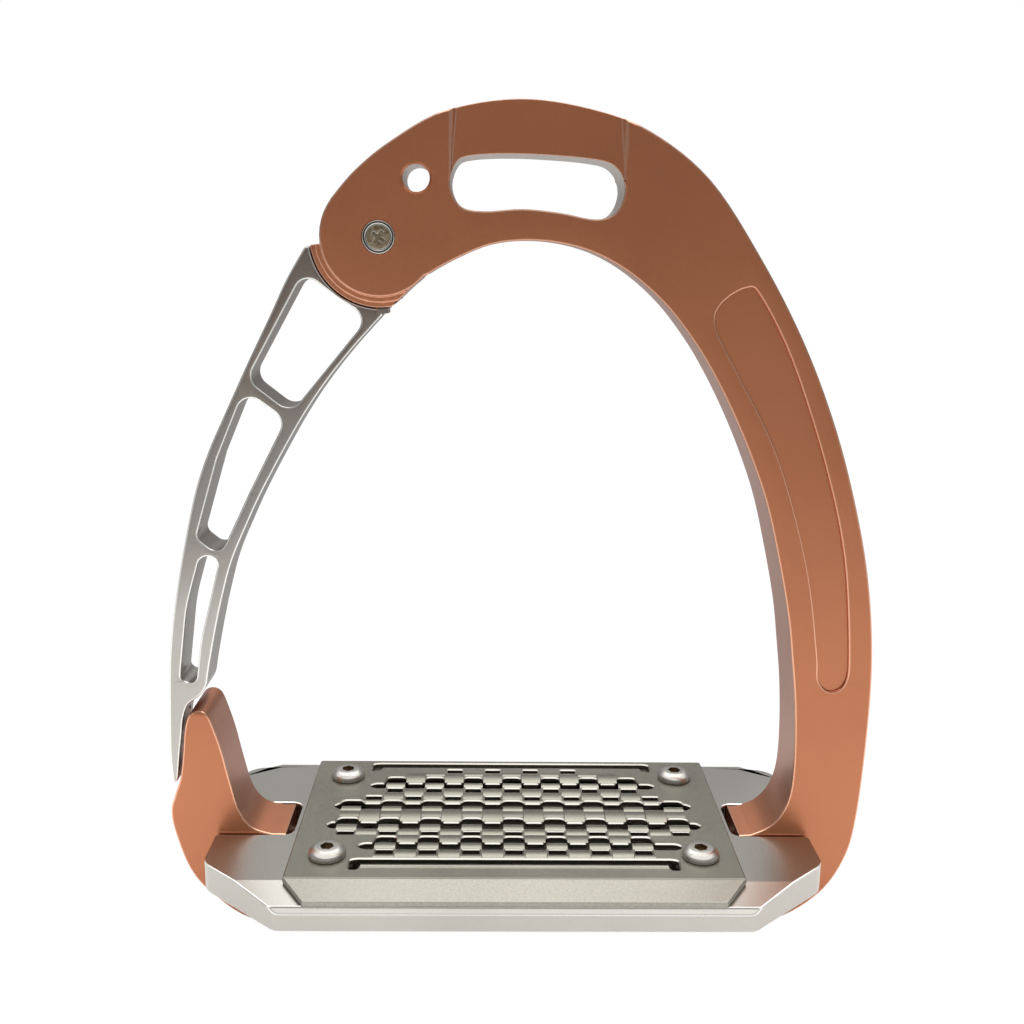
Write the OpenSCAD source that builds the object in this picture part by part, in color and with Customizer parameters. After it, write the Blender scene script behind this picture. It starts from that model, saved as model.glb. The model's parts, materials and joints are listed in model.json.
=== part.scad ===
// Safety stirrup: a one-piece frame that is open on one side, a release arm that closes that side
// and swings away if the rider falls, and a foot platform with a steel grip plate.
// X runs across the tread, Y from the toe side to the heel side, Z up. The ground is at Z = 0.

/* [Frame] */
// Overall width across both legs
frame_w = 146; // [121:1:176]
// Height from the ground to the top of the arch
frame_h = 169; // [140:1:203]
// Thickness of the frame from front to back
frame_t = 13.5; // [12:0.5:18]
// Diameter of the keeper hole above the hinge
keeper_d = 5; // [4:0.1:6]
// Depth of the panel let into the right leg
panel_depth = 0.6; // [0.3:0.1:1]
// Depth of the set-back at the top of the strap bar
bar_setback = 1.1; // [0.6:0.1:1.6]

/* [Hinge] */
// Radius of the rounded hinge cheeks
cheek_r = 11; // [10:0.2:11.4]
// Radius of the outer ledge round the cheeks
ledge_r = 13; // [12.6:0.1:13.2]
// Thickness of the arm's tongue between the cheeks
tongue_t = 4.8; // [4:0.1:5.4]
// Outside diameter of the sleeve that the arm turns on
sleeve_d = 5; // [4.4:0.1:6]
// Thickness of one thrust washer
washer_t = 0.45; // [0.3:0.05:0.6]

/* [Release arm] */
// Thickness of the arm from front to back
arm_t = 9; // [8:0.5:10]
// Swing of the arm from shut to fully open, in degrees
arm_swing = 76; // [60:1:78]

/* [Tread] */
// Distance from the platform's front edge to the middle of the frame
tread_front = 33; // [30:0.5:38]
// Distance from the platform's back edge to the middle of the frame
tread_back = 26.3; // [26:0.5:32]
// Thickness of the platform
tread_t = 6; // [5:0.1:7]

/* [Grip plate] */
// Depth of the flat part of the grip plate
plate_l = 52; // [50:0.5:52]
// Sheet thickness of the grip plate
plate_t = 1.2; // [1:0.1:1.5]
// Distance of the grip plate screws from the plate's ends
screw_inset = 7.5; // [6.5:0.1:9]
// Spacing of the grip plate screws from front to back
screw_gap_y = 35; // [33:0.5:36]
// Width of the wavy slots in the grip plate
wave_slot_w = 1.8; // [1.4:0.1:2]

/* [Hidden] */
$fn = 48;

// Colours
copper = [0.66, 0.41, 0.29];
satin_silver = [0.72, 0.71, 0.69];
steel = [0.6, 0.6, 0.57];
brass = [0.55, 0.48, 0.3];
polymer = [0.12, 0.12, 0.13];

eps = 0.01;
running_gap = 0.03;
// Sizes that the outline points are drawn at
drawn_w = 146;
drawn_h = 169;
width_scale = frame_w / drawn_w;
height_scale = frame_h / drawn_h;
half_t = frame_t / 2;
half_arm = arm_t / 2;

// Hinge
pivot = place([-26.8, 144.1]);
sleeve_bore = 3.3;
pivot_screw_d = 3;
head_inset = 0.25;
rim_inset = 0.1;
head_seat = 0.4;
pocket_half = tongue_t / 2 + washer_t + 0.05;
tongue_r = 9;
bush_wall = 1;
bush_r = sleeve_d / 2 + running_gap + bush_wall;
shoulder_r = ledge_r + 0.3;
inner_ledge_r = (cheek_r + ledge_r) / 2;
inner_ledge_y = half_t - 0.8;
ledge_y = half_t - 1.5;
// Directions round the pivot, counted from +X towards +Z
ledge_from = 187;
ledge_to = 308;
// the ledges are cut off along a line from this place on the outer one, at this slope
ledge_cut = 280;
ledge_slope = 43;
neck_from = 191;
neck_to = 275.6;
stop_gap = 0.4;
keeper_edge = 0.4;
cup_washer_d = sleeve_d + 1.2;
cup_washer_t = 1.3;
screw_head_d = 4.7;
nut_d = sleeve_d + 2.4;
nut_t = 2.2;
nut_slot = 1.2;

// Horn and magnet latch
horn_magnet = place([-68.55, 46]);
magnet_d = 4;
magnet_l = 1.9;
strike_l = 4;

// Tread
tread_w = 124.4 * width_scale;
tread_z = 22.3 * height_scale;
tread_bottom = tread_z - tread_t;
foot_end = 47.6 * width_scale;
notch_end = foot_end - 1.5;
notch_corner_r = 2.4;
notch_half = half_t + 0.35;
plate_w = 2 * (notch_end - 1.1);
pan_half_x = plate_w / 2 - 3.5;
pan_half_y = 22;
pan_depth = 3.8;
pan_floor = tread_z - pan_depth;
facet_y = 24.9;
facet_angle = 10;
plate_z = tread_z + plate_t;
flange_l = 6.7;
flange_slant = 4.8;
grip_screw_x = plate_w / 2 - screw_inset;
grip_screw_y = screw_gap_y / 2;
grip_screw_d = 4;
grip_screw_tip = tread_bottom + 0.6;
insert_wall = 0.6;
thread_gap = 0.03;
screw_clearance = 0.25;
tread_screw_x = 28;
tread_screw_d = 5;
tread_screw_l = 11;
spring_washer_d = 8.8;
spring_washer_t = 0.6;
dowel_x = 14;
dowel_d = 4;
dowel_l = 9;
// Edge breaks along the front of the platform
front_edge_drop = 1.35;
front_edge_angle = 43;
boss_r = 5.5;

// A point of the outline, carried to the chosen width and height
function place(p) = [p[0] * width_scale, p[1] * height_scale];
function placed(points) = [for (p = points) place(p)];

// One point of a smooth curve between b and c, with a and d as its neighbours
function curve_point(a, b, c, d, t) =
    0.5 * (2 * b + (c - a) * t + (2 * a - 5 * b + 4 * c - d) * t * t
    + (3 * b - a - 3 * c + d) * t * t * t);
// A smooth open curve through all the points
function smooth(points, steps = 6) =
    let (n = len(points) - 1)
    concat([
        for (i = [0 : n - 1], k = [0 : steps - 1])
            curve_point(points[max(i - 1, 0)], points[i], points[i + 1],
                points[min(i + 2, n)], k / steps)
    ], [points[n]]);
// A smooth closed curve through all the points
function smooth_loop(points, steps = 5) =
    let (n = len(points))
    [
        for (i = [0 : n - 1], k = [0 : steps - 1])
            curve_point(points[(i + n - 1) % n], points[i], points[(i + 1) % n],
                points[(i + 2) % n], k / steps)
    ];
function unit(v) = v / norm(v);
// The corner at b, rounded by an arc of radius r that touches both its sides
function rounded_corner(a, b, c, r, steps = 6) =
    let (
        to_a = unit(a - b),
        to_c = unit(c - b),
        half_angle = acos(to_a * to_c) / 2,
        back = r / tan(half_angle),
        centre = b + unit(to_a + to_c) * r / sin(half_angle),
        start = b + to_a * back - centre,
        finish = b + to_c * back - centre,
        sweep = 180 - 2 * half_angle,
        turn = (start[0] * finish[1] - start[1] * finish[0]) > 0 ? 1 : -1
    )
    [
        for (k = [0 : steps])
            let (w = turn * sweep * k / steps)
            centre + [start[0] * cos(w) - start[1] * sin(w), start[0] * sin(w) + start[1] * cos(w)]
    ];
// A polygon whose corners [x, y, r] are each rounded to radius r
function rounded(corners, steps = 6) =
    let (n = len(corners), xy = [for (c = corners) [c[0], c[1]]])
    [
        for (i = [0 : n - 1])
            let (r = corners[i][2])
            each r > 0
                ? rounded_corner(xy[(i + n - 1) % n], xy[i], xy[(i + 1) % n], r, steps)
                : [xy[i]]
    ];

// A flat outline in X and Z, made solid from y_from to y_to
module slab(y_from, y_to) {
    translate([0, y_to, 0]) rotate([90, 0, 0]) linear_extrude(y_to - y_from) children();
}
// A round bar along Y at a point of the outline
module y_bar(at, r, y_from, y_to) {
    translate([at[0], y_from, at[1]]) rotate([-90, 0, 0]) cylinder(r = r, h = y_to - y_from);
}
// A slice of a disc round the pivot, between two directions
module pie(r, from, to) {
    translate(pivot) polygon(concat([[0, 0]],
        [for (k = [0 : 24]) let (w = from + (to - from) * k / 24) r * [cos(w), sin(w)]]));
}

// Outer edge of the frame, from the hinge over the arch and down the right leg to the belly
outer_edge = smooth(placed([
    [-35.6, 150.8], [-31, 156], [-24.3, 161.3], [-14.4, 166.7], [-1, 169], [12, 167.5],
    [23.3, 163.6], [34.8, 155.1], [45.2, 140.9], [54, 126], [61, 110.6], [66.4, 94.8],
    [70.5, 78.4], [72.7, 61.6], [73, 44], [72.2, 26], [70.3, 16.6], [65.5, 8.6], [56.5, 2.5],
    [44, 0]
]));
// The left end of the belly and the short horn that the arm shuts against
horn_edge = smooth(placed([
    [-44, 0], [-56, 2.5], [-63.8, 8.4], [-68, 14], [-70.6, 22], [-71.3, 27.2], [-70.3, 31],
    [-69, 35], [-68.2, 40.5], [-67.6, 45.5], [-66.6, 48.6], [-64.7, 49.6], [-62.8, 48.6],
    [-61.5, 45.2], [-60.2, 40.6], [-58.8, 34], [-57, 27], [-54.4, 23.5], [-50.6, 22.2]
]));
// Inner edge, from the right foot up the leg and under the arch to the hinge
inner_edge = smooth(placed([
    [50, 22.3], [53.6, 24], [56.4, 27.3], [57.9, 32.5], [58.1, 41], [57.4, 52], [56.1, 62],
    [54.9, 70], [52.7, 80], [49.3, 92.8], [45.6, 102.5], [41.6, 111.1], [37.5, 118.6], [33.5, 124.8],
    [28, 131.6], [21.9, 137], [15.6, 140.8], [9, 143], [1.5, 143.8], [-6, 142.9],
    [-13.1, 139.9], [-18.2, 137]
]));
belly_top = [[-foot_end, tread_z - 0.1], [-foot_end, tread_bottom], [foot_end, tread_bottom],
    [foot_end, tread_z - 0.1]];

// Closed outline of the leather slot, with an arched lower edge
slot_edge = smooth_loop(placed([
    [-9.4, 158.9], [0, 159.3], [13.2, 158.5], [17.5, 156.8], [18.9, 153], [17.4, 149.1],
    [13.7, 147.8], [7, 148.9], [0, 149.5], [-7, 149], [-11.4, 149.8], [-13.4, 153.5],
    [-12.4, 157.5]
]));
// Closed outline of the shallow panel on the right leg
panel_edge = smooth_loop(placed([
    [42.6, 135.6], [45.4, 133.9], [52.1, 122], [59.9, 102], [65.2, 83], [67.7, 62.5],
    [67.3, 56.3], [64.6, 54.6], [62, 57], [61.3, 63], [57.9, 81.4], [50.7, 103.3],
    [41.9, 119.6], [37.2, 128.2], [38, 132.6]
]));

module frame_outline() {
    difference() {
        polygon(concat(outer_edge, horn_edge, belly_top, inner_edge, [pivot]));
        polygon(slot_edge);
    }
}
// The strap bar leans back above the slot: a wedge with sloping ends is cut from its face
module bar_wedge() {
    left = place([-13.3, 0])[0];
    right = place([18.9, 0])[0];
    foot = place([0, 155])[1];
    top = frame_h + 1;
    y_in = half_t - bar_setback * (top - foot) / (frame_h - foot);
    intersection() {
        translate([left - 5, 0, 0]) rotate([90, 0, 90]) linear_extrude(right - left + 10)
            polygon([[half_t, foot], [half_t + 1, foot], [half_t + 1, top], [y_in, top]]);
        linear_extrude(top + 1)
            polygon([[left, half_t], [left - 1, half_t + 1], [right + 1, half_t + 1],
                [right, half_t], [right - 3, half_t - 3], [left + 3, half_t - 3]]);
    }
}
// One ledge round the cheeks, cut off in line with the arm's inner edge
module ledge(r, half_w) {
    slab(-half_w, half_w) intersection() {
        pie(r, ledge_from, ledge_to);
        translate(pivot + ledge_r * [cos(ledge_cut), sin(ledge_cut)]) rotate(ledge_slope)
            translate([-2 * ledge_r, 0]) square([4 * ledge_r, 2 * ledge_r]);
    }
}
module frame() {
    keeper = place([-19.7, 154.8]);
    color(copper) difference() {
        union() {
            slab(-half_t, half_t) frame_outline();
            slab(-half_t, half_t) translate(pivot) circle(cheek_r);
            ledge(inner_ledge_r, inner_ledge_y);
            ledge(ledge_r, ledge_y);
        }
        // pocket for the arm's tongue, with an end stop at each side
        slab(-pocket_half, pocket_half) {
            pie(shoulder_r + 8, neck_from - arm_swing - stop_gap, neck_to + stop_gap);
            translate(pivot) circle(tongue_r + 0.3);
        }
        // pivot bore with a counterbore at each face
        y_bar(pivot, sleeve_d / 2 + running_gap, -half_t - 1, half_t + 1);
        y_bar(pivot, cup_washer_d / 2 + 0.05, -half_t - 1, cup_washer_t - half_t);
        y_bar(pivot, nut_d / 2 + 0.05, half_t - nut_t, half_t + 1);
        // keeper hole with a chamfer at each end
        y_bar(keeper, keeper_d / 2, -half_t - 1, half_t + 1);
        for (side = [-1, 1])
            translate([keeper[0], side * (half_t + eps), keeper[1]]) rotate([side * 90, 0, 0])
                cylinder(r1 = keeper_d / 2 + keeper_edge, r2 = keeper_d / 2, h = keeper_edge);
        // the set-back of the strap bar, front and back
        bar_wedge();
        mirror([0, 1, 0]) bar_wedge();
        // shallow panel, front and back
        for (side = [-1, 1])
            translate([0, side * half_t, 0]) slab(-panel_depth, panel_depth) polygon(panel_edge);
        // seat of the magnet's strike in the horn
        strike_seat();
        // bores for the platform's screws and dowels
        for (side = [-1, 1]) {
            translate([side * tread_screw_x, 0, tread_bottom - tread_screw_l])
                cylinder(r = tread_screw_d / 2 + insert_wall, h = tread_screw_l + 1);
            translate([side * dowel_x, 0, pan_floor - dowel_l + 1]) cylinder(d = dowel_d, h = dowel_l);
        }
    }
}

// Arm
arm_outer = smooth(placed([
    [-40.8, 142.2], [-44.4, 136.2], [-47.9, 129.1], [-52.3, 120.4], [-56.7, 111.3], [-60.8, 102.6],
    [-63.6, 94.9], [-65.9, 85.8], [-67.9, 76.5], [-69.5, 67.6], [-70.6, 58.4], [-71.2, 47],
    [-71.5, 38.8], [-71.2, 32.4]
]));
arm_inner = smooth(placed([
    [-70.2, 33], [-69.6, 38.5], [-68.9, 43.5], [-68.4, 47], [-67.3, 50], [-65, 51.8],
    [-63.4, 54], [-62.6, 58], [-61.1, 65.2], [-59.4, 72.4], [-57.1, 80.4], [-54, 87.6],
    [-50.3, 95.3], [-44.5, 105.8], [-40.7, 112], [-36.5, 117.9], [-32, 123.4], [-27.4, 128.5],
    [-25.3, 130.8]
]));
// Windows: corners [x, z] with the radius of each corner
window_corners = [
    [[-41.2, 137.4, 2.6], [-52.6, 117, 3], [-44.4, 110.6, 3], [-29.2, 129, 2.8]],
    [[-53.2, 115, 2.8], [-59, 101.5, 12], [-63.9, 85.4, 2], [-59.4, 81.6, 2.2],
        [-53.2, 94.4, 60], [-45.5, 109.3, 3]],
    [[-62.9, 83.2, 2], [-66.5, 71, 40], [-68.6, 55.4, 1.4], [-65.4, 54.4, 1.5], [-64, 64, 40],
        [-59.7, 80.4, 1.8]]
];
module arm_window(corners) {
    polygon(rounded([for (c = corners) concat(place([c[0], c[1]]), [c[2]])]));
}
module release_arm() {
    color(satin_silver) difference() {
        union() {
            slab(-half_arm, half_arm) difference() {
                polygon(concat(arm_outer, arm_inner, [pivot]));
                translate(pivot) circle(shoulder_r, $fn = 96);
            }
            slab(-tongue_t / 2, tongue_t / 2) {
                pie(shoulder_r + 1, neck_from, neck_to);
                translate(pivot) circle(tongue_r);
            }
        }
        slab(-half_arm - 1, half_arm + 1) for (w = window_corners) arm_window(w);
        y_bar(pivot, bush_r, -half_arm, half_arm);
        magnet_seat();
    }
}

// Hinge hardware
module pivot_sleeve() {
    y_from = cup_washer_t - half_t;
    y_to = half_t - nut_t;
    color(steel) difference() {
        y_bar(pivot, sleeve_d / 2, y_from, y_to);
        y_bar(pivot, sleeve_bore / 2, y_from - 1, y_to + 1);
    }
}
module pivot_cup_washer() {
    color(satin_silver) difference() {
        y_bar(pivot, cup_washer_d / 2, rim_inset - half_t, cup_washer_t - half_t);
        y_bar(pivot, sleeve_bore / 2, -half_t, half_t);
        y_bar(pivot, screw_head_d / 2 + running_gap, -half_t, cup_washer_t - half_t - head_seat);
    }
}
// Flat-headed screw with a cross recess, sunk in the cup washer and run into the nut
module pivot_screw() {
    head_floor = cup_washer_t - half_t - head_seat;
    cross = [2.6, 0.9, 0.6];
    color(brass) difference() {
        union() {
            y_bar(pivot, screw_head_d / 2, head_inset - half_t, head_floor);
            y_bar(pivot, pivot_screw_d / 2, head_floor - eps, half_t - 0.6);
        }
        for (turn = [35, 125])
            translate([pivot[0], head_inset - half_t, pivot[1]]) rotate([0, turn, 0])
                cube(cross, center = true);
    }
}
module pivot_nut() {
    color(steel) difference() {
        y_bar(pivot, nut_d / 2, half_t - nut_t, half_t - rim_inset);
        y_bar(pivot, pivot_screw_d / 2 + running_gap, half_t - nut_t - 1, half_t + 1);
        translate([pivot[0], half_t - rim_inset, pivot[1]])
            cube([nut_d + 1, nut_slot, nut_slot], center = true);
    }
}
module arm_bush() {
    color(brass) difference() {
        y_bar(pivot, bush_r, -tongue_t / 2, tongue_t / 2);
        y_bar(pivot, sleeve_d / 2 + running_gap, -half_t, half_t);
    }
}
module thrust_washer(side) {
    middle = side * (pocket_half - washer_t / 2 - 0.01);
    color(polymer) difference() {
        y_bar(pivot, tongue_r - 1, middle - washer_t / 2, middle + washer_t / 2);
        y_bar(pivot, sleeve_d / 2 + 0.05, -half_t, half_t);
    }
}
module front_thrust_washer() {
    thrust_washer(-1);
}
module rear_thrust_washer() {
    thrust_washer(1);
}

// Magnet latch: the seats lie along X, across the joint between arm and horn
module x_bar(x_from, x_to, r) {
    translate([x_from, 0, horn_magnet[1]]) rotate([0, 90, 0]) cylinder(r = r, h = x_to - x_from);
}
magnet_from = horn_magnet[0] - magnet_l + 0.1;
strike_from = horn_magnet[0] + 1.5;
module magnet_seat() {
    x_bar(magnet_from, magnet_from + 8, magnet_d / 2);
}
module arm_magnet() {
    color(steel) x_bar(magnet_from, magnet_from + magnet_l - 0.15, magnet_d / 2);
}
module strike_seat() {
    x_bar(strike_from - 6, strike_from + strike_l, magnet_d / 2);
}
module magnet_strike() {
    color(steel) x_bar(strike_from, strike_from + strike_l, magnet_d / 2);
}

// Platform
tread_right_side = [
    [tread_w / 2 - 16.6, -tread_front, 3], [tread_w / 2, -tread_front + 14.6, 5],
    [tread_w / 2, -notch_half, 1], [notch_end, -notch_half, notch_corner_r],
    [notch_end, notch_half, notch_corner_r],
    [tread_w / 2, notch_half, 1], [tread_w / 2, tread_back - 1.6, 5],
    [tread_w / 2 - 5.4, tread_back - 1.6, 2], [tread_w / 2 - 7.8, tread_back, 2]
];
tread_left_side = [for (i = [len(tread_right_side) - 1 : -1 : 0])
    [-tread_right_side[i][0], tread_right_side[i][1], tread_right_side[i][2]]];
module tread_frame() {
    color(satin_silver) difference() {
        translate([0, 0, tread_bottom]) linear_extrude(tread_t)
            polygon(rounded(concat(tread_right_side, tread_left_side)));
        // sloping facet along the front, and the small chamfer below it
        translate([-tread_w, -facet_y, tread_z]) rotate([facet_angle, 0, 0])
            translate([0, -tread_front, 0]) cube([2 * tread_w, tread_front, tread_t]);
        translate([-tread_w, -tread_front + 1, tread_z - front_edge_drop])
            rotate([front_edge_angle, 0, 0]) translate([0, -tread_t, 0])
                cube([2 * tread_w, tread_t, tread_t]);
        // mud space below the grip plate, leaving a boss at each screw
        translate([0, 0, pan_floor]) linear_extrude(tread_t) difference() {
            polygon(rounded([
                [-pan_half_x, -pan_half_y, 3], [pan_half_x, -pan_half_y, 3],
                [pan_half_x, pan_half_y, 3], [-pan_half_x, pan_half_y, 3]
            ]));
            for (x = [-1, 1], y = [-1, 1])
                translate([x * grip_screw_x, y * grip_screw_y]) circle(boss_r);
        }
        for (x = [-1, 1], y = [-1, 1])
            translate([x * grip_screw_x, y * grip_screw_y, grip_screw_tip])
                cylinder(r = grip_screw_d / 2 + insert_wall, h = tread_t + 1);
        for (side = [-1, 1]) {
            translate([side * tread_screw_x, 0, tread_bottom - 1])
                cylinder(r = tread_screw_d / 2 + screw_clearance, h = tread_t + 2);
            translate([side * dowel_x, 0, tread_bottom - 1]) cylinder(d = dowel_d, h = tread_t + 2);
        }
    }
}
module tread_dowels() {
    color(steel) for (side = [-1, 1])
        translate([side * dowel_x, 0, pan_floor - dowel_l + 2]) cylinder(d = dowel_d, h = dowel_l - 2);
}
module tread_spring_washers() {
    color(steel) for (side = [-1, 1])
        translate([side * tread_screw_x, 0, pan_floor]) difference() {
            cylinder(d = spring_washer_d, h = spring_washer_t);
            translate([0, 0, -1]) cylinder(r = tread_screw_d / 2 + 0.1, h = 3);
        }
}
module tread_screws() {
    head_d = 8.5;
    head_h = 2.6;
    socket_r = 1.73;
    socket_floor = 1.1;
    color(steel) for (side = [-1, 1])
        translate([side * tread_screw_x, 0, pan_floor + spring_washer_t]) difference() {
            union() {
                cylinder(d = head_d, h = head_h);
                translate([0, 0, -tread_screw_l]) cylinder(d = tread_screw_d, h = tread_screw_l + eps);
            }
            translate([0, 0, socket_floor]) cylinder(r = socket_r, h = head_h, $fn = 6);
        }
}
module tread_screw_inserts() {
    color(steel) for (side = [-1, 1])
        translate([side * tread_screw_x, 0, tread_bottom - tread_screw_l + 1]) difference() {
            cylinder(r = tread_screw_d / 2 + insert_wall, h = tread_screw_l - 1.2);
            translate([0, 0, -1]) cylinder(r = tread_screw_d / 2 + thread_gap, h = tread_screw_l + 1);
        }
}
module grip_screw_inserts() {
    color(steel) for (x = [-1, 1], y = [-1, 1])
        translate([x * grip_screw_x, y * grip_screw_y, grip_screw_tip]) difference() {
            cylinder(r = grip_screw_d / 2 + insert_wall, h = tread_t - 0.8);
            translate([0, 0, -1]) cylinder(r = grip_screw_d / 2 + thread_gap, h = tread_t + 2);
        }
}

// Grip plate
wave_pitch = 8.76 * width_scale;
// Middle of each wavy slot, its swing to either side, and the places where it starts and ends
wave_rows = [[14.8, 1.4, -3, 3], [4.6, 1, -4, 4], [-4, 1.1, -4, 4], [-12.2, 1.3, -3, 3]];
// Short slots between the wavy ones: column offset in cells, middle, width, outermost column
short_rows = [[0, 11.2, 1.6, 3], [1, 7.5, 1.2, 4], [0, -8.2, 1.2, 4], [0, -15.8, 1.6, 3]];
link_w = 1;
finger_r = 1.1;
// One wavy slot: it lies further back at each even column and further forward between them
module wavy_slot(row) {
    cell = wave_pitch / 2;
    for (k = [2 * row[2] : 2 * row[3]])
        translate([k * cell - (cell + link_w) / 2,
            row[0] + (k % 2 == 0 ? 1 : -1) * row[1] - wave_slot_w / 2])
            square([cell + link_w, wave_slot_w]);
    for (k = [2 * row[2] : 2 * row[3] - 1])
        translate([k * cell + (cell - link_w) / 2, row[0] - row[1] - wave_slot_w / 2])
            square([link_w, 2 * row[1] + wave_slot_w]);
    for (side = [-1, 1], finger = side < 0 ? row[2] : row[3])
        translate([side * (abs(finger) * wave_pitch + cell / 2 + 0.8), row[0]])
            circle(finger_r, $fn = 24);
}
// A short slot as wide as most of a column, for each column of its kind
module short_slots(row) {
    width = wave_pitch / 2 - 0.9;
    for (k = [-row[3] : row[3] - row[0]])
        translate([(k + row[0] / 2) * wave_pitch - width / 2, row[1] - row[2] / 2])
            square([width, row[2]]);
}
// A straight slit whose ends hook forwards
module long_slit(y, half_l) {
    hook = 1.2;
    translate([-half_l, y - 1]) square([2 * half_l, 2]);
    for (side = [-1, 1]) translate([side * half_l, y - hook]) {
        circle(1, $fn = 24);
        translate([-1, 0]) square([2, hook]);
    }
}
// Side view of the sheet: flat, then bent down along the platform's sloping facet
module plate_side_view() {
    bend = [-plate_l / 2, tread_z];
    along = flange_l * [-cos(facet_angle), -sin(facet_angle)];
    up = [0, plate_t];
    polygon([bend, bend + along, bend + along + up, bend + up, [plate_l / 2, plate_z],
        [plate_l / 2, tread_z]]);
}
module grip_plate() {
    flange_back = plate_l / 2 + flange_l + 1;
    color(steel) difference() {
        translate([-plate_w / 2, 0, 0]) rotate([90, 0, 90]) linear_extrude(plate_w)
            plate_side_view();
        // slanted ends of the flange
        for (side = [-1, 1])
            translate([0, 0, tread_z - 3]) linear_extrude(plate_t + 4)
                polygon([[side * plate_w / 2, -plate_l / 2], [side * (plate_w / 2 + 1), -plate_l / 2],
                    [side * (plate_w / 2 + 1), -flange_back],
                    [side * (plate_w / 2 - flange_slant), -flange_back]]);
        translate([0, 0, tread_z - 1]) linear_extrude(plate_t + 2) {
            for (row = wave_rows) wavy_slot(row);
            for (row = short_rows) short_slots(row);
            long_slit(-19.8, plate_w / 2 - 13.6);
            long_slit(23.2, plate_w / 2 - 14);
        }
        for (x = [-1, 1], y = [-1, 1])
            translate([x * grip_screw_x, y * grip_screw_y, tread_z - 1])
                cylinder(r = grip_screw_d / 2 + 0.2, h = plate_t + 2);
    }
}
// Button head screws with a hexagon socket
module grip_plate_screws() {
    head_r = 3.8;
    head_h = 2.2;
    dome_r = 5;
    socket_r = 1.45;
    socket_floor = 0.8;
    shank_l = plate_z + 1 - grip_screw_tip;
    color(steel) for (x = [-1, 1], y = [-1, 1])
        translate([x * grip_screw_x, y * grip_screw_y, plate_z]) difference() {
            union() {
                intersection() {
                    translate([0, 0, head_h - dome_r]) sphere(r = dome_r);
                    cylinder(r = head_r, h = head_h);
                }
                translate([0, 0, 1 - shank_l]) cylinder(d = grip_screw_d, h = shank_l);
            }
            translate([0, 0, socket_floor]) cylinder(r = socket_r, h = head_h, $fn = 6);
        }
}

frame();
release_arm();
pivot_sleeve();
pivot_screw();
pivot_cup_washer();
pivot_nut();
arm_bush();
front_thrust_washer();
rear_thrust_washer();
arm_magnet();
magnet_strike();
tread_frame();
tread_dowels();
tread_screws();
tread_spring_washers();
tread_screw_inserts();
grip_plate();
grip_plate_screws();
grip_screw_inserts();
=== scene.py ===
# %% [markdown]
# # A safety stirrup in copper and silver
#
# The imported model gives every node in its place, in metres: X across the tread, Y from the toe
# side to the heel side, Z up. This script gives each piece its finish, softens the machined edges,
# forms the grip plate's pattern, and sets a pale studio round it.

# %%
import json
import math

import bmesh
import bpy
from mathutils import Matrix, Vector


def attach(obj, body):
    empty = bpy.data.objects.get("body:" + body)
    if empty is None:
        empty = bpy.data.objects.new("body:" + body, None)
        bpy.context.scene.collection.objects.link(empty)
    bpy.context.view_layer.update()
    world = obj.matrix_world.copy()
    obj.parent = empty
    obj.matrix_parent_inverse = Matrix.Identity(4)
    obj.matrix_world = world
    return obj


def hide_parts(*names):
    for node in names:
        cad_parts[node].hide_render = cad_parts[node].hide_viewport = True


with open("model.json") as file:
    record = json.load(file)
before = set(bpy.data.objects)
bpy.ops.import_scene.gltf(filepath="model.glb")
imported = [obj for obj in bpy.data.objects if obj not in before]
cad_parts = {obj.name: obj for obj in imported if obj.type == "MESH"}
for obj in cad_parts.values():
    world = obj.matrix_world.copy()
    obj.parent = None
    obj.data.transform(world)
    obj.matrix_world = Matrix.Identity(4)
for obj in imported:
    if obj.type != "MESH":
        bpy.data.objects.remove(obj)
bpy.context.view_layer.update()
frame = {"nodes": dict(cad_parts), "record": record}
MM = 0.001

# %% [markdown]
# ## Material tools
#
# Metal is never one flat value. A node group breaks up the colour with a fine grain and wide soft
# clouds, and gives the same grain to the roughness and the bump.

# %%
def grain_group():
    """Shared effect: fine grain and wide clouds, both from Object coordinates."""
    group = bpy.data.node_groups.new("metal_grain", "ShaderNodeTree")
    face = group.interface
    for name, default in (("Grain scale", 9000.0), ("Stretch", 1.0), ("Cloud scale", 30.0)):
        socket = face.new_socket(name, in_out="INPUT", socket_type="NodeSocketFloat")
        socket.default_value = default
    face.new_socket("Grain", in_out="OUTPUT", socket_type="NodeSocketFloat")
    face.new_socket("Cloud", in_out="OUTPUT", socket_type="NodeSocketFloat")
    nodes, links = group.nodes, group.links
    given = nodes.new("NodeGroupInput")
    result = nodes.new("NodeGroupOutput")
    coords = nodes.new("ShaderNodeTexCoord")
    stretch = nodes.new("ShaderNodeCombineXYZ")
    stretch.inputs["Y"].default_value = 1.0
    stretch.inputs["Z"].default_value = 1.0
    scaled = nodes.new("ShaderNodeVectorMath")
    scaled.operation = "MULTIPLY"
    grain = nodes.new("ShaderNodeTexNoise")
    grain.inputs["Detail"].default_value = 3.0
    grain.inputs["Roughness"].default_value = 0.6
    cloud = nodes.new("ShaderNodeTexNoise")
    cloud.inputs["Detail"].default_value = 2.0
    links.new(given.outputs["Stretch"], stretch.inputs["X"])
    links.new(coords.outputs["Object"], scaled.inputs[0])
    links.new(stretch.outputs[0], scaled.inputs[1])
    links.new(scaled.outputs[0], grain.inputs["Vector"])
    links.new(given.outputs["Grain scale"], grain.inputs["Scale"])
    links.new(coords.outputs["Object"], cloud.inputs["Vector"])
    links.new(given.outputs["Cloud scale"], cloud.inputs["Scale"])
    links.new(grain.outputs["Fac"], result.inputs["Grain"])
    links.new(cloud.outputs["Fac"], result.inputs["Cloud"])
    return group


GRAIN = grain_group()


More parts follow.
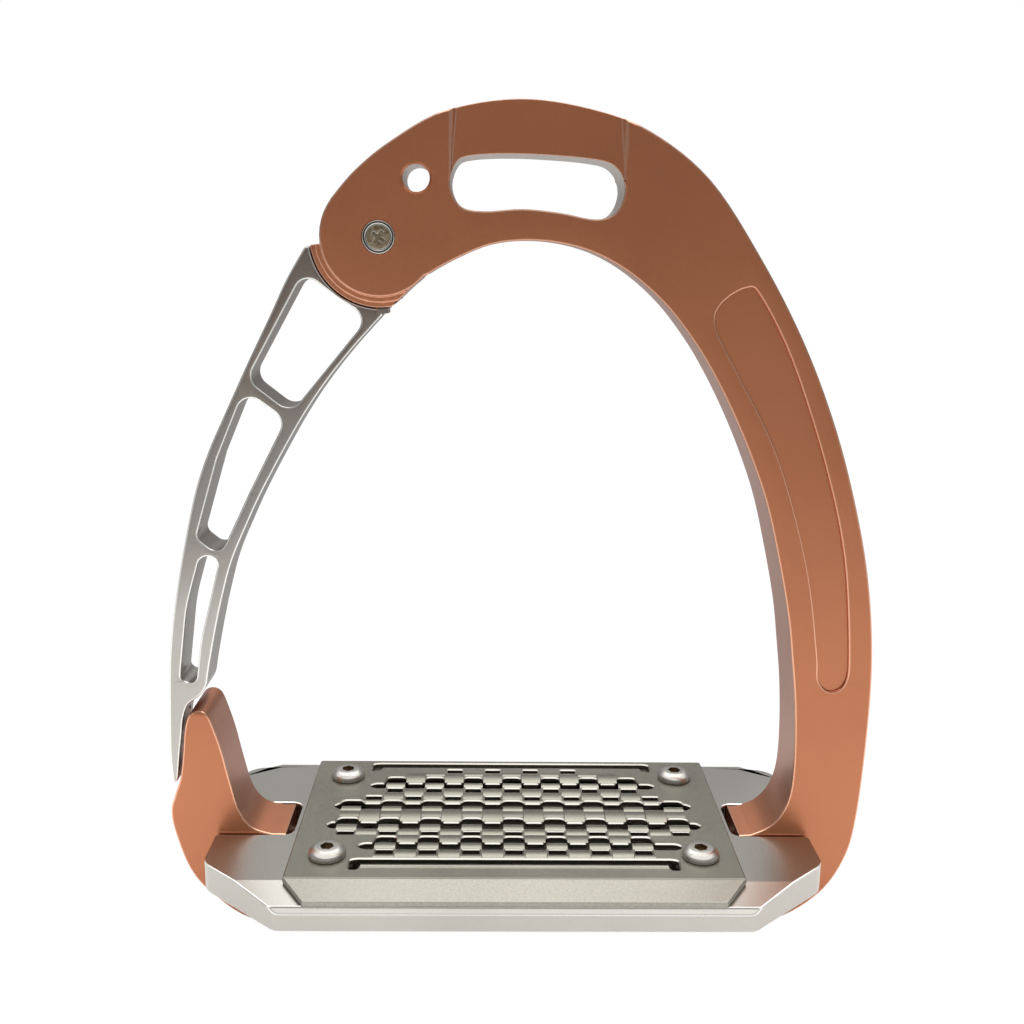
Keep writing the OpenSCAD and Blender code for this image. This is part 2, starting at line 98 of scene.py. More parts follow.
def set_ramp(ramp, stops):
    """Sets a ramp's colours from (position, colour) pairs."""
    for element, (position, colour) in zip(ramp.elements, (stops[0], stops[-1])):
        element.position = position
        element.color = (*colour, 1.0)
    for position, colour in stops[1:-1]:
        ramp.elements.new(position).color = (*colour, 1.0)


def greys(stops):
    """Turns (position, value) pairs into (position, colour) pairs."""
    return [(position, (value, value, value)) for position, value in stops]


SHADE_TOP = 170.0


def shaded(nodes, links, colour, shade):
    """Multiplies a colour by a tint that changes with height, when there is one."""
    if not shade:
        return colour
    coords = nodes.new("ShaderNodeTexCoord")
    split = nodes.new("ShaderNodeSeparateXYZ")
    height = nodes.new("ShaderNodeMapRange")
    height.inputs["From Max"].default_value = SHADE_TOP * MM
    tint = nodes.new("ShaderNodeValToRGB")
    set_ramp(tint.color_ramp, [(at / SHADE_TOP, value) for at, value in shade])
    height_painted_shade = nodes.new("ShaderNodeMix")
    height_painted_shade.data_type = "RGBA"
    height_painted_shade.blend_type = "MULTIPLY"
    height_painted_shade.inputs["Factor"].default_value = 1.0
    links.new(coords.outputs["Object"], split.inputs[0])
    links.new(split.outputs["Z"], height.inputs["Value"])
    links.new(height.outputs["Result"], tint.inputs["Fac"])
    links.new(colour, height_painted_shade.inputs["A"])
    links.new(tint.outputs["Color"], height_painted_shade.inputs["B"])
    return height_painted_shade.outputs["Result"]


def metal(name, dark, light, metallic=1.0, roughness=(0.35, 0.5), bump=0.02, grain_scale=6000.0,
          stretch=1.0, cloud_scale=30.0, grain_mix=0.3, coat=0.0, shade=()):
    """A satin metal: colour and roughness follow the grain group, and so does a fine bump.

    shade holds (height in mm, tint) stops that darken the colour up the piece: painted shade.
    """
    material = bpy.data.materials.new(name)
    material.use_nodes = True
    nodes, links = material.node_tree.nodes, material.node_tree.links
    shader = nodes["Principled BSDF"]
    shader.inputs["Metallic"].default_value = metallic
    shader.inputs["Base Color"].default_value = (*light, 1.0)
    shader.inputs["Roughness"].default_value = sum(roughness) / 2
    shader.inputs["Coat Weight"].default_value = coat
    shader.inputs["Coat Roughness"].default_value = 0.3
    group = nodes.new("ShaderNodeGroup")
    group.node_tree = GRAIN
    group.inputs["Grain scale"].default_value = grain_scale
    group.inputs["Stretch"].default_value = stretch
    group.inputs["Cloud scale"].default_value = cloud_scale
    blend = nodes.new("ShaderNodeMix")
    blend.data_type = "FLOAT"
    blend.inputs["Factor"].default_value = grain_mix
    links.new(group.outputs["Cloud"], blend.inputs["A"])
    links.new(group.outputs["Grain"], blend.inputs["B"])
    colour = nodes.new("ShaderNodeValToRGB")
    colour.color_ramp.elements[0].position = 0.3
    colour.color_ramp.elements[0].color = (*dark, 1.0)
    colour.color_ramp.elements[1].position = 0.7
    colour.color_ramp.elements[1].color = (*light, 1.0)
    links.new(blend.outputs["Result"], colour.inputs["Fac"])
    links.new(shaded(nodes, links, colour.outputs["Color"], shade), shader.inputs["Base Color"])
    rough = nodes.new("ShaderNodeMapRange")
    rough.inputs["From Min"].default_value = 0.3
    rough.inputs["From Max"].default_value = 0.7
    rough.inputs["To Min"].default_value = roughness[0]
    rough.inputs["To Max"].default_value = roughness[1]
    links.new(group.outputs["Grain"], rough.inputs["Value"])
    links.new(rough.outputs["Result"], shader.inputs["Roughness"])
    if bump > 0:
        relief = nodes.new("ShaderNodeBump")
        relief.inputs["Strength"].default_value = bump
        relief.inputs["Distance"].default_value = 0.1 * MM
        links.new(group.outputs["Grain"], relief.inputs["Height"])
        links.new(relief.outputs["Normal"], shader.inputs["Normal"])
    return material


# %% [markdown]
# ## Finishes
#
# One material for each finish in the record, plus lighter copies that paint highlights on bevels, the
# strap-opening walls, plate rims and the flange, and a dark of dirt and painted shade for the mud
# space under the plate and the slots.

# %%
# Painted shade: the arm's silver darkens and warms towards its top.
ARM_SHADE = ((60, (1.0, 0.98, 0.94)), (70, (1.0, 0.98, 0.95)), (80, (0.84, 0.78, 0.75)),
             (90, (0.72, 0.68, 0.66)), (104, (0.68, 0.64, 0.62)), (118, (0.64, 0.56, 0.51)),
             (134, (0.56, 0.47, 0.43)))
FINISH = {
    "copper_anodised": metal("copper_anodised", (0.455, 0.153, 0.062), (0.53, 0.187, 0.08),
                             roughness=(0.34, 0.42), bump=0.04, grain_scale=2600.0, coat=0.8),
    # Painted highlight: a lighter, smoother copper for the bevel faces.
    "copper_painted_highlight": metal("copper_painted_highlight", (0.72, 0.36, 0.23), (0.82, 0.44, 0.3),
                         roughness=(0.16, 0.22), bump=0.0),
    # Painted highlight: a pale copper for the walls of the leather slot and the keeper hole.
    "copper_wall_painted_highlight": metal("copper_wall_painted_highlight", (0.8, 0.72, 0.66), (0.88, 0.8, 0.75),
                         roughness=(0.3, 0.36), bump=0.0),
    # Painted highlight: a lighter, smoother silver for the bevel faces.
    "silver_painted_highlight": metal("silver_painted_highlight", (0.8, 0.78, 0.74), (0.9, 0.88, 0.84),
                         roughness=(0.14, 0.2), bump=0.0),
    "silver_anodised": metal("silver_anodised", (0.46, 0.45, 0.43), (0.53, 0.52, 0.495),
                             roughness=(0.27, 0.32), bump=0.0, grain_scale=2600.0, grain_mix=0.12,
                             shade=ARM_SHADE),
    "stainless_plate": metal("stainless_plate", (0.24, 0.23, 0.19), (0.33, 0.32, 0.27),
                             roughness=(0.3, 0.44), bump=0.1, grain_scale=2200.0),
    # Painted highlight: a lighter steel for rims and pad slopes that face forwards and up.
    "plate_painted_highlight": metal("plate_painted_highlight", (0.62, 0.6, 0.54), (0.76, 0.74, 0.68),
                       roughness=(0.24, 0.36), bump=0.02),
    # The flange's blasted grain is its own; its lighter colour is a painted highlight.
    "blasted_steel_and_highlight": metal("blasted_steel_and_highlight", (0.3, 0.29, 0.25), (0.46, 0.44, 0.39),
                           roughness=(0.36, 0.5), bump=0.35, grain_scale=2600.0, grain_mix=0.8),
    # A dark of dirt and painted shade for recesses and slot walls.
    "dirt_and_painted_shade": metal("dirt_and_painted_shade", (0.035, 0.03, 0.022), (0.075, 0.062, 0.045), metallic=0.6,
                       roughness=(0.45, 0.65), bump=0.3, grain_scale=1400.0, grain_mix=0.7),
    "steel": metal("steel", (0.48, 0.46, 0.42), (0.6, 0.58, 0.54), roughness=(0.26, 0.36),
                   bump=0.015, grain_scale=2000.0),
    # A darker brown for the screws' hex sockets.
    "screw_brass": metal("screw_brass", (0.2, 0.15, 0.09), (0.4, 0.32, 0.21),
                         roughness=(0.22, 0.45), bump=0.8, grain_scale=1100.0, grain_mix=0.8),
    "magnet": metal("magnet", (0.6, 0.6, 0.6), (0.7, 0.7, 0.7), roughness=(0.12, 0.2)),
    "polymer": metal("polymer", (0.012, 0.012, 0.013), (0.03, 0.03, 0.03), metallic=0.0,
                     roughness=(0.35, 0.5)),
}
NODE_SLOT = {part["node"]: part["material_slot"] for part in frame["record"]["subparts"]}
BODIES = frame["record"]["behaviour"]["bodies"]
NODE_BODY = {node: body for body, nodes in BODIES.items() for node in nodes}


def paint(obj, slot):
    """Puts one finish on the whole of a piece."""
    obj.data.materials.clear()
    obj.data.materials.append(FINISH[slot])


for name, node in frame["nodes"].items():
    paint(node, NODE_SLOT[name])

# %% [markdown]
# ## Machined pieces
#
# A machined piece keeps its node's exact shape. The copy is merged, its flat faces are joined, and
# a narrow bevel along every sharp edge catches the light, as the real chamfers do. The copper and
# silver bevels are also painted a lighter, smoother copy of their metal: a painted highlight.

# %%
def select_only(obj):
    bpy.ops.object.select_all(action="DESELECT")
    obj.select_set(True)
    bpy.context.view_layer.objects.active = obj


def apply_all(obj):
    """Turns the piece's modifiers into plain mesh."""
    select_only(obj)
    for modifier in list(obj.modifiers):
        bpy.ops.object.modifier_apply(modifier=modifier.name)


def level_normals(obj):
    """Keeps broad faces flat where they meet narrow bevels."""
    level = obj.modifiers.new("level", "WEIGHTED_NORMAL")
    level.keep_sharp = True
    level.weight = 90
    apply_all(obj)


def finish_part(obj, node, smooth_angle=35.0):
    """Smooths, paints and hands over a finished piece that takes a node's place."""
    select_only(obj)
    bpy.ops.object.shade_smooth_by_angle(angle=math.radians(smooth_angle))
    level_normals(obj)
    if len(obj.data.materials) < 2:
        paint(obj, NODE_SLOT[node])
    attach(obj, NODE_BODY[node])
    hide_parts(node)


HALF_FRAME = 6.75
PIVOT = (-26.8, 144.1)
KEEPER = (-19.7, 154.8)
ARM_CORNER = (-25.4, 130.6)
CHEEK_END = (-18.3, 137.0)


def machined(node, cuts, smooth_angle=30.0, bevel_finish_or_highlight="steel", weld=()):
    """A copy of a node that takes its place, with its picked sharp edges bevelled.

    cuts holds (bevel width, test that picks the points) pairs. weld holds the places where two
    outlines meet so closely that their corners become one. The bevel faces take a second finish,
    which for the copper and silver pieces is a lighter, smoother copy of the metal: a painted highlight.
    """
    source = frame["nodes"][node]
    piece = bpy.data.objects.new(node + "_finished", source.data.copy())
    bpy.context.scene.collection.objects.link(piece)
    paint(piece, NODE_SLOT[node])
    piece.data.materials.append(FINISH[bevel_finish_or_highlight])
    mesh = bmesh.new()
    mesh.from_mesh(piece.data)
    bmesh.ops.remove_doubles(mesh, verts=mesh.verts, dist=0.002 * MM)
    for spot in weld:
        near = [vert for vert in mesh.verts if (vert.co.xz / MM - Vector(spot)).length < 0.5]
        bmesh.ops.remove_doubles(mesh, verts=near, dist=0.2 * MM)
    for bevel, picked in cuts:
        edges = [edge for edge in mesh.edges
                 if edge.is_manifold and edge.calc_face_angle() > math.radians(28)
                 and all(picked(vert.co / MM) for vert in edge.verts)]
        bmesh.ops.bevel(mesh, geom=edges, offset=bevel * MM, offset_type="OFFSET", segments=2,
                        profile=0.5, affect="EDGES", clamp_overlap=False, loop_slide=False,
                        material=1)
    bmesh.ops.recalc_face_normals(mesh, faces=mesh.faces)
    mesh.to_mesh(piece.data)
    mesh.free()
    select_only(piece)
    bpy.ops.mesh.customdata_custom_splitnormals_clear()
    finish_part(piece, node, smooth_angle)
    return piece


def repaint(obj, slot, wanted):
    """Gives a second finish to the faces that the test picks by middle and normal."""
    obj.data.materials.append(FINISH[slot])
    index = len(obj.data.materials) - 1
    for face in obj.data.polygons:
        if wanted(face.center / MM, face.normal):
            face.material_index = index


def on_faces(*depths):
    """Picks points on the front or back face at one of these distances."""
    return lambda point: (any(abs(abs(point.y) - depth) < 0.02 for depth in depths)
                          and (point.xz - Vector(PIVOT)).length > 4.6
                          and (point.xz - Vector(KEEPER)).length > 3.6
                          and (point.xz - Vector(ARM_CORNER)).length > 1.2)


def tread_outside(point):
    """Picks the platform's outer edges, but not those of the mud space under the plate."""
    return abs(point.x) > 44.6 or abs(point.y) > 22.6


def strap_opening(middle, normal):
    """Picks the walls of the leather slot and of the keeper hole."""
    in_slot = 147.5 < middle.z < 160 and -14 < middle.x < 21
    in_keeper = (middle.xz - Vector(KEEPER)).length < 3.4
    return (abs(normal.y) < 0.3 and abs(middle.y) < HALF_FRAME - 2.3 and (in_slot or in_keeper))


def fine_edge(point):
    """Picks the two ledges' edges round the cheeks, and the set-back edges of the strap bar."""
    drop = HALF_FRAME - abs(point.y)
    on_ledge = abs(drop - 0.8) < 0.02 or abs(drop - 1.5) < 0.02
    on_strap_bar = -0.01 < drop < 1.25 and point.z > 155 and abs(point.x - 3) < 18
    return on_ledge and point.z < 150 and point.x < -20 or on_strap_bar


copper = machined("frame", ((0.36, on_faces(HALF_FRAME)), (0.16, fine_edge)),
                  bevel_finish_or_highlight="copper_painted_highlight", weld=(CHEEK_END,))
# The walls of the leather slot and the keeper hole are painted pale: a painted highlight.
repaint(copper, "copper_wall_painted_highlight", strap_opening)
machined("release_arm", ((0.32, on_faces(4.5)),), bevel_finish_or_highlight="silver_painted_highlight")
tread = machined("tread_frame", ((0.25, tread_outside),), smooth_angle=9.6,
                 bevel_finish_or_highlight="silver_painted_highlight")
# The mud space under the plate is painted dark: dirt and painted shade.
repaint(tread, "dirt_and_painted_shade", lambda middle, normal: abs(middle.x) < 42 and abs(middle.y) < 22.3
        and 17 < middle.z < 22.2)
ring = machined("pivot_cup_washer", ((0.2, lambda point: point.y < -6.5),),
                bevel_finish_or_highlight="silver_painted_highlight")
# The washer's front faces take the same dark.
repaint(ring, "dirt_and_painted_shade", lambda middle, normal: normal.y < -0.95)
machined("pivot_screw", ((0.15, lambda point: point.y < -6.4),))
machined("pivot_nut", ((0.2, lambda point: point.y > 6.5),))

# %% [markdown]
# ## Grip plate
#
# The sheet is a flat outline with its slots as holes, filled, thickened and given a rounded rim.
# Columns A and B take turns across the plate. Each wavy slot lies further back at A than at B, with
# a short ramp between them. Low domed pads stand on the strips between the slots.

# %%
TREAD_TOP = 22.3
PLATE_TOP = 23.5
PLATE_HALF_W = 45.0
BEND_Y = -26.0
PITCH = 8.76
CELL = PITCH / 2
# Each wavy slot: back and front edge at A, the same at B, outermost A column, finger ends
WAVES = (
    {"a": (17.4, 14.6), "b": (14.2, 11.9), "last": 3, "ends": (-32.2, 32.6)},
    {"a": (6.1, 3.5), "b": (4.6, 2.1), "last": 4, "ends": (-39.0, 39.3)},
    {"a": (-1.9, -4.5), "b": (-3.9, -6.5), "last": 4, "ends": (-39.6, 40.0)},
    {"a": (-9.8, -12.2), "b": (-12.6, -15.0), "last": 3, "ends": (-32.0, 34.6)},
)
# Short slots between the wavy ones: column kind, back and front edge, outermost column
SHORT_SLOTS = (("a", 12.0, 10.0, 3), ("b", 8.2, 6.4, 4), ("a", -7.5, -9.1, 4),
               ("a", -15.0, -16.9, 3), ("b", 21.4, 19.6, 2))
# Pads: column kind, back and front edge, height, outermost column
PADS = (("a", 19.6, 17.9, 0.15, 2), ("a", 14.4, 12.3, 0.26, 3), ("a", 9.8, 6.5, 0.24, 3),
        ("a", 3.2, 1.2, 0.2, 4), ("a", 0.9, -1.5, 0.14, 4), ("a", -4.8, -7.4, 0.26, 4),
        ("a", -12.5, -14.9, 0.26, 3), ("a", -17.1, -18.4, 0.12, 3),
        ("b", 19.4, 14.6, 0.42, 3), ("b", 11.6, 8.4, 0.26, 3), ("b", 6.2, 4.9, 0.15, 4),
        ("b", 1.9, -3.5, 0.46, 4), ("b", -6.8, -9.2, 0.22, 4), ("b", -9.4, -12.3, 0.2, 3),
        ("b", -15.3, -18.4, 0.34, 3))


def round_corner(before, corner, after, radius, steps=4):
    """Points of an arc that takes the place of one corner of an outline."""
    corner = Vector(corner)
    back, on = Vector(before) - corner, Vector(after) - corner
    reach = min(radius, back.length * 0.49, on.length * 0.49)
    start, finish = corner + back.normalized() * reach, corner + on.normalized() * reach
    arc = []
    for i in range(steps + 1):
        t = i / steps
        arc.append(start * (1 - t) ** 2 + corner * 2 * t * (1 - t) + finish * t * t)
    return arc


def rounded_outline(corners):
    """A closed outline from corners (x, y, radius)."""
    count = len(corners)
    points = []
    for i, (x, y, radius) in enumerate(corners):
        before, after = corners[i - 1][:2], corners[(i + 1) % count][:2]
        points += round_corner(before, (x, y), after, radius)
    return points


def wave_outline(wave):
    """One wavy slot: the back edge from left to right, then the front edge from right to left."""
    (a_back, a_front), (b_back, b_front) = wave["a"], wave["b"]
    left, right = wave["ends"]
    middle = (b_back + b_front) / 2
    back, front = [(left, middle, 0.8), (left + 1.2, b_back, 0.8)], []
    front += [(left + 1.4, b_front, 0.6)]
    for k in range(-wave["last"], wave["last"] + 1):
        for side in (-1, 1):
            edge = k * PITCH + side * CELL / 2
            up = [(edge + side * 0.5, b_back, 0.3), (edge - side * 0.3, a_back, 0.9)]
            low = [(edge + side * 0.2, b_front, 0.4), (edge - side * 0.6, a_front, 0.3)]
            back += up if side < 0 else up[::-1]
            front += low if side < 0 else low[::-1]
    back += [(right - 1.2, b_back, 0.8), (right, middle, 0.8)]
    front += [(right - 1.4, b_front, 0.6)]
    return rounded_outline(back + front[::-1])


def columns(kind, last):
    """Middles of the A or B columns out to the last one on each side."""
    if kind == "a":
        return [k * PITCH for k in range(-last, last + 1)]
    return [(k + 0.5) * PITCH for k in range(-last, last)]


def box_outline(x, half, back, front, radius):
    return rounded_outline([(x - half, front, radius), (x + half, front, radius),
                            (x + half, back, radius), (x - half, back, radius)])


def slit_outline(y, half_l, half_w=1.05, hook=2.0):
    """A long straight slit whose ends hook forwards."""
    out, back, front = half_l + 1.6, y + half_w, y - half_w
    right = [(half_l - 0.6, front, 0.5), (half_l - 0.2, front - hook, 0.6),
             (out - 0.1, front - hook, 0.7), (out, back - 0.4, 1.0), (out - 1.4, back, 0.6)]
    left = [(-x, v, r) for x, v, r in right[::-1]]
    return rounded_outline(right + left)


def circle_outline(x, y, radius, count=32):
    turns = [2 * math.pi * i / count for i in range(count)]
    return [Vector((x + radius * math.cos(t), y + radius * math.sin(t))) for t in turns]


def sheet_from_outlines(name, outlines, low, high, rim):
    """Fills the first outline, leaves the others open, and rounds every rim."""
    data = bpy.data.curves.new(name, "CURVE")
    data.dimensions = "2D"
    data.fill_mode = "BOTH"
    data.extrude = ((high - low) / 2 - rim) * MM
    data.bevel_depth = rim * MM
    data.bevel_resolution = 0
    data.offset = -rim * MM
    for outline in outlines:
        spline = data.splines.new("POLY")
        spline.points.add(len(outline) - 1)
        for point, at in zip(spline.points, outline):
            point.co = (at[0] * MM, at[1] * MM, 0.0, 1.0)
        spline.use_cyclic_u = True
    curve = bpy.data.objects.new(name, data)
    curve.location.z = (high + low) / 2 * MM
    bpy.context.scene.collection.objects.link(curve)
    select_only(curve)
    bpy.ops.object.convert(target="MESH")
    bpy.ops.object.transform_apply(location=True, rotation=True, scale=True)
    return bpy.context.object


def add_pad(mesh, x, half, back, front, height, steps=8):
    """A low dome along Y, straight across the column, standing in the sheet's top."""
    rings = []
    for side in (-1, 1):
        ring = [mesh.verts.new((( x + side * half) * MM, (back + (front - back) * i / steps) * MM,
                (PLATE_TOP + height * (1 - (2 * i / steps - 1) ** 2)) * MM))
                for i in range(steps + 1)]
        rings.append(ring)
    for i in range(steps):
        mesh.faces.new((rings[0][i], rings[0][i + 1], rings[1][i + 1], rings[1][i]))
    for ring in rings:
        mesh.faces.new(ring if ring is rings[1] else ring[::-1])
    mesh.faces.new((rings[0][0], rings[1][0], rings[1][steps], rings[0][steps]))


def joined(name, objs):
    bpy.ops.object.select_all(action="DESELECT")
    for obj in objs:
        obj.select_set(True)
    bpy.context.view_layer.objects.active = objs[0]
    bpy.ops.object.join()
    objs[0].name = name
    return objs[0]


def mesh_object(name, mesh):
    """Turns a bmesh into an object at the origin, with its faces turned outwards."""
    bmesh.ops.recalc_face_normals(mesh, faces=mesh.faces)
    data = bpy.data.meshes.new(name)
    mesh.to_mesh(data)
    mesh.free()
    obj = bpy.data.objects.new(name, data)
    bpy.context.scene.collection.objects.link(obj)
    return obj


def bevelled(obj, width, segments=2, angle=30.0):
    edge = obj.modifiers.new("edge", "BEVEL")
    edge.width = width
    edge.segments = segments
    edge.limit_method = "ANGLE"
    edge.angle_limit = math.radians(angle)
    apply_all(obj)
    return obj


def plate_flange():
    """The front of the sheet, bent down along the tread's facet, with slanted ends."""
    slope, reach, inset = math.tan(math.radians(10)), 6.5, 0.02
    half, narrow = PLATE_HALF_W - inset, PLATE_HALF_W - 4.8
    plan = ((-half, 0.0), (-narrow, reach), (narrow, reach), (half, 0.0))
    mesh = bmesh.new()
    rings = []
    for drop in (1.15, 0.0):
        rings.append([mesh.verts.new((x * MM, (BEND_Y - out) * MM,
                     (PLATE_TOP - slope * out - drop) * MM)) for x, out in plan])
    mesh.faces.new(rings[0])
    mesh.faces.new(rings[1][::-1])
    for i in range(4):
        j = (i + 1) % 4
        mesh.faces.new((rings[0][i], rings[0][j], rings[1][j], rings[1][i]))
    return bevelled(mesh_object("plate_flange", mesh), 0.28 * MM, segments=3)


def grip_plate():
    screws = [(x * 37.5, y * 17.5) for x in (-1, 1) for y in (-1, 1)]
    back = -BEND_Y
    outlines = [rounded_outline([(-PLATE_HALF_W, BEND_Y, 0.0), (PLATE_HALF_W, BEND_Y, 0.0),
                                 (PLATE_HALF_W, back, 0.6), (-PLATE_HALF_W, back, 0.6)])]
    outlines += [wave_outline(wave) for wave in WAVES]
    outlines += [slit_outline(-19.8, 31.2), slit_outline(23.5, 30.8)]
    outlines += [circle_outline(x, y, 2.2) for x, y in screws]
    for kind, high, low, last in SHORT_SLOTS:
        outlines += [box_outline(x, CELL / 2 - 0.45, high, low, 0.35)
                     for x in columns(kind, last)]
    sheet = sheet_from_outlines("plate_sheet", outlines, TREAD_TOP + 0.02, PLATE_TOP, 0.26)
    pads = bmesh.new()
    for kind, high, low, height, last in PADS:
        for x in columns(kind, last):
            add_pad(pads, x, CELL / 2 - 0.08, high, low, height)
    add_pad(pads, 0.0, 30.4, -21.0, -22.4, 0.3)
    plate = joined("grip_plate_finished",
                   [sheet, mesh_object("plate_pads", pads), plate_flange()])
    finish_part(plate, "grip_plate", 15.0)
    inner = lambda middle: abs(middle.x) < 44 and abs(middle.y) < 25
    # Rims and pad slopes facing forwards and up are painted lighter: a painted highlight.
    repaint(plate, "plate_painted_highlight", lambda middle, normal: inner(middle) and middle.z < PLATE_TOP
            and normal.y < -0.3 and 0.3 < normal.z < 0.9)
    # The slot walls below the plate's top are painted dark: dirt and painted shade.
    repaint(plate, "dirt_and_painted_shade", lambda middle, normal: inner(middle) and abs(normal.z) < 0.2
            and middle.z < PLATE_TOP)
    # The bent flange takes the blasted grain, and a lighter colour as a painted highlight.
    repaint(plate, "blasted_steel_and_highlight", lambda middle, normal: middle.y < BEND_Y - 0.3)


grip_plate()

# %% [markdown]
# ## Button head screws
#
# Each screw is turned from one outline: a rounded head, a flat top and the shank. A hexagon is then
# cut into the head, and its walls and floor are painted a darker brown.

# %%
def turned(name, outline, at, axis="Z", segments=64):
    """Spins an outline of (radius, height) points round an axis through a place in millimetres."""
    mesh = bmesh.new()
    rings = []
    for radius, height in outline:
        if radius < 1e-6:
            rings.append([mesh.verts.new((0, 0, height * MM))])
            continue
        turns = [2 * math.pi * i / segments for i in range(segments)]
        rings.append([mesh.verts.new((radius * MM * math.cos(t), radius * MM * math.sin(t),
                     height * MM)) for t in turns])
    for one, two in zip(rings, rings[1:]):
        for i in range(segments):
            j = (i + 1) % segments
            corners = [one[i % len(one)], one[j % len(one)], two[j % len(two)], two[i % len(two)]]
            mesh.faces.new(list(dict.fromkeys(corners)))
    if axis == "Y":
        bmesh.ops.rotate(mesh, verts=mesh.verts, matrix=Matrix.Rotation(math.pi / 2, 3, "X"))
    bmesh.ops.translate(mesh, verts=mesh.verts, vec=Vector(at) * MM)
    return mesh_object(name, mesh)


def carve(obj, cutter):
    """Cuts one closed shape out of another and removes the cutter."""
    cut = obj.modifiers.new("cut", "BOOLEAN")
    cut.operation = "DIFFERENCE"
    cut.solver = "EXACT"
    cut.object = cutter
    apply_all(obj)
    bpy.data.objects.remove(cutter)


def hex_cutter(at, radius, depth, turn=0.0):
    bpy.ops.mesh.primitive_cylinder_add(vertices=6, radius=radius * MM, depth=2 * depth * MM,
                                        location=Vector(at) * MM, rotation=(0, 0, turn))
    return bpy.context.object


def grip_plate_screws():
    head = [(0.0, 2.04), (2.35, 2.04), (2.6, 1.98), (3.45, 1.35), (3.68, 1.05), (3.76, 0.7),
            (3.76, 0.2), (3.6, 0.0), (2.0, 0.0), (2.0, -6.4), (1.8, -6.6), (0.0, -6.6)]
    screws = []
    places = [(x * 37.5, y * 17.5, PLATE_TOP) for x in (-1, 1) for y in (-1, 1)]
    for i, at in enumerate(places):
        screw = turned("button_screw", head, at)
        carve(screw, hex_cutter((at[0], at[1], at[2] + 2.2), 1.45, 1.4, turn=0.4 + 0.7 * i))
        screws.append(screw)
    screw = joined("grip_plate_screws_finished", screws)
    finish_part(screw, "grip_plate_screws", 32.0)
    # The socket's walls and floor are painted a darker brown.
    repaint(screw, "screw_brass", lambda middle, normal: middle.z > PLATE_TOP + 0.7 and any(
            (middle - Vector(at)).xy.length < 1.44 for at in places))


grip_plate_screws()

# %% [markdown]
# ## Studio
#
# A white floor, a broad soft light above and behind, and a dimmer grey where the metal looks
# forward. The world is white where the camera sees it and graded where the metal reflects it.

# %%
def studio_floor():
    bpy.ops.mesh.primitive_plane_add(size=6.0, location=(0, 0, 0))
    floor = bpy.context.object
    floor.name = "studio_floor"
    material = bpy.data.materials.new("studio_floor")
    material.use_nodes = True
    nodes, links = material.node_tree.nodes, material.node_tree.links
    shader = nodes["Principled BSDF"]
    shader.inputs["Roughness"].default_value = 0.9
    shader.inputs["Specular IOR Level"].default_value = 0.0
    coords = nodes.new("ShaderNodeTexCoord")
    parts = nodes.new("ShaderNodeSeparateXYZ")
    along = nodes.new("ShaderNodeMapRange")
    along.inputs["From Min"].default_value = -0.4
    along.inputs["From Max"].default_value = 0.2
    grade = nodes.new("ShaderNodeValToRGB")
    set_ramp(grade.color_ramp, greys(((0.0, 0.55), (0.2, 0.6), (0.43, 0.98), (0.68, 0.95), (0.78, 0.6),
                                (0.88, 0.36), (1.0, 0.36))))
    links.new(coords.outputs["Object"], parts.inputs[0])
    links.new(parts.outputs["Y"], along.inputs["Value"])
    links.new(along.outputs["Result"], grade.inputs["Fac"])
    links.new(grade.outputs["Color"], shader.inputs["Base Color"])
    glow = nodes.new("ShaderNodeEmission")
    glow.inputs["Strength"].default_value = 1.08
    seen = nodes.new("ShaderNodeLightPath")
    share = nodes.new("ShaderNodeMath")
    share.operation = "MULTIPLY"
    share.inputs[1].default_value = 0.92
    mixed = nodes.new("ShaderNodeMixShader")
    links.new(seen.outputs["Is Camera Ray"], share.inputs[0])
    links.new(share.outputs[0], mixed.inputs["Fac"])
    links.new(shader.outputs["BSDF"], mixed.inputs[1])
    links.new(glow.outputs["Emission"], mixed.inputs[2])
    links.new(mixed.outputs["Shader"], nodes["Material Output"].inputs["Surface"])
    floor.data.materials.append(material)


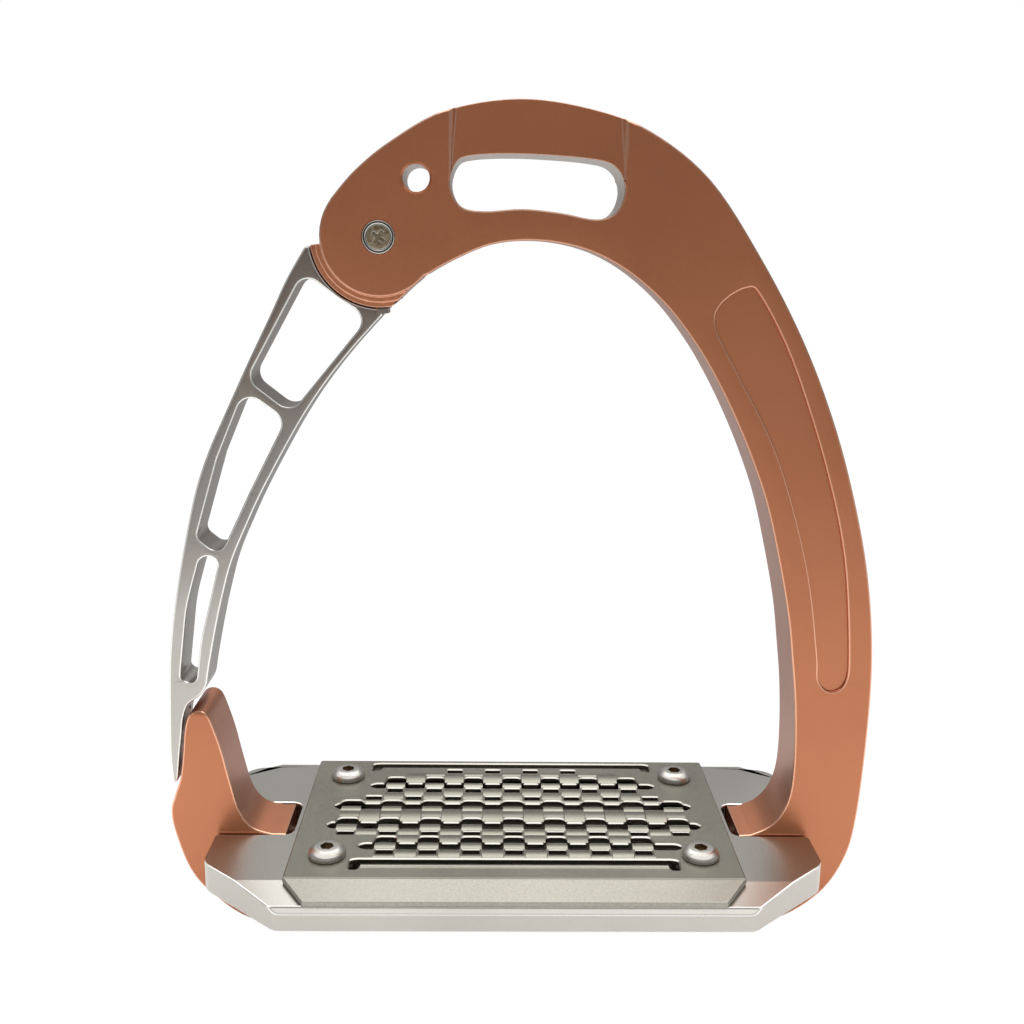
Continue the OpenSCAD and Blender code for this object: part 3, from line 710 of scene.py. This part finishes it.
def studio_world():
    world = bpy.data.worlds.new("studio")
    bpy.context.scene.world = world
    world.use_nodes = True
    nodes, links = world.node_tree.nodes, world.node_tree.links
    back = nodes["Background"]
    back.inputs["Strength"].default_value = 1.0
    coords = nodes.new("ShaderNodeTexCoord")
    parts = nodes.new("ShaderNodeSeparateXYZ")
    height = nodes.new("ShaderNodeMapRange")
    height.inputs["From Min"].default_value = -0.2
    height.inputs["From Max"].default_value = 1.0
    grade = nodes.new("ShaderNodeValToRGB")
    set_ramp(grade.color_ramp, greys(((0.0, 0.5), (0.12, 0.36), (0.26, 0.29), (0.45, 0.34), (0.58, 0.46),
                                (0.66, 0.62), (0.75, 1.8), (1.0, 1.35))))
    seen = nodes.new("ShaderNodeLightPath")
    choose = nodes.new("ShaderNodeMix")
    choose.data_type = "RGBA"
    choose.inputs["B"].default_value = (1.0, 1.0, 1.0, 1.0)
    links.new(coords.outputs["Generated"], parts.inputs[0])
    links.new(parts.outputs["Z"], height.inputs["Value"])
    links.new(height.outputs["Result"], grade.inputs["Fac"])
    links.new(seen.outputs["Is Camera Ray"], choose.inputs["Factor"])
    links.new(grade.outputs["Color"], choose.inputs["A"])
    links.new(choose.outputs["Result"], back.inputs["Color"])


def area_light(name, place, target, size, power):
    light = bpy.data.lights.new(name, "AREA")
    light.shape = "RECTANGLE"
    light.size, light.size_y = size
    light.energy = power
    obj = bpy.data.objects.new(name, light)
    obj.location = place
    aim = Vector(target) - Vector(place)
    obj.rotation_euler = aim.to_track_quat("-Z", "Y").to_euler()
    bpy.context.scene.collection.objects.link(obj)


studio_floor()
studio_world()
area_light("overhead", (0.0, 0.25, 0.9), (0, 0, 0.05), (0.9, 0.6), 3.0)

# %% [markdown]
# ## Camera
#
# The camera stands in front of the toe side, a little above the tread, and looks slightly down.

# %%
def place_camera():
    data = bpy.data.cameras.new("camera")
    data.sensor_width = 36.0
    data.lens = 40.43
    data.clip_start = 0.01
    camera = bpy.data.objects.new("camera", data)
    camera.location = (-5.5 * MM, -227.0 * MM, 142.7 * MM)
    camera.rotation_euler = [math.radians(a) for a in (77.0, -0.75, -0.945)]
    bpy.context.scene.collection.objects.link(camera)
    bpy.context.scene.camera = camera


place_camera()
bpy.context.scene.view_settings.view_transform = "Standard"
bpy.context.scene.view_settings.look = "None"
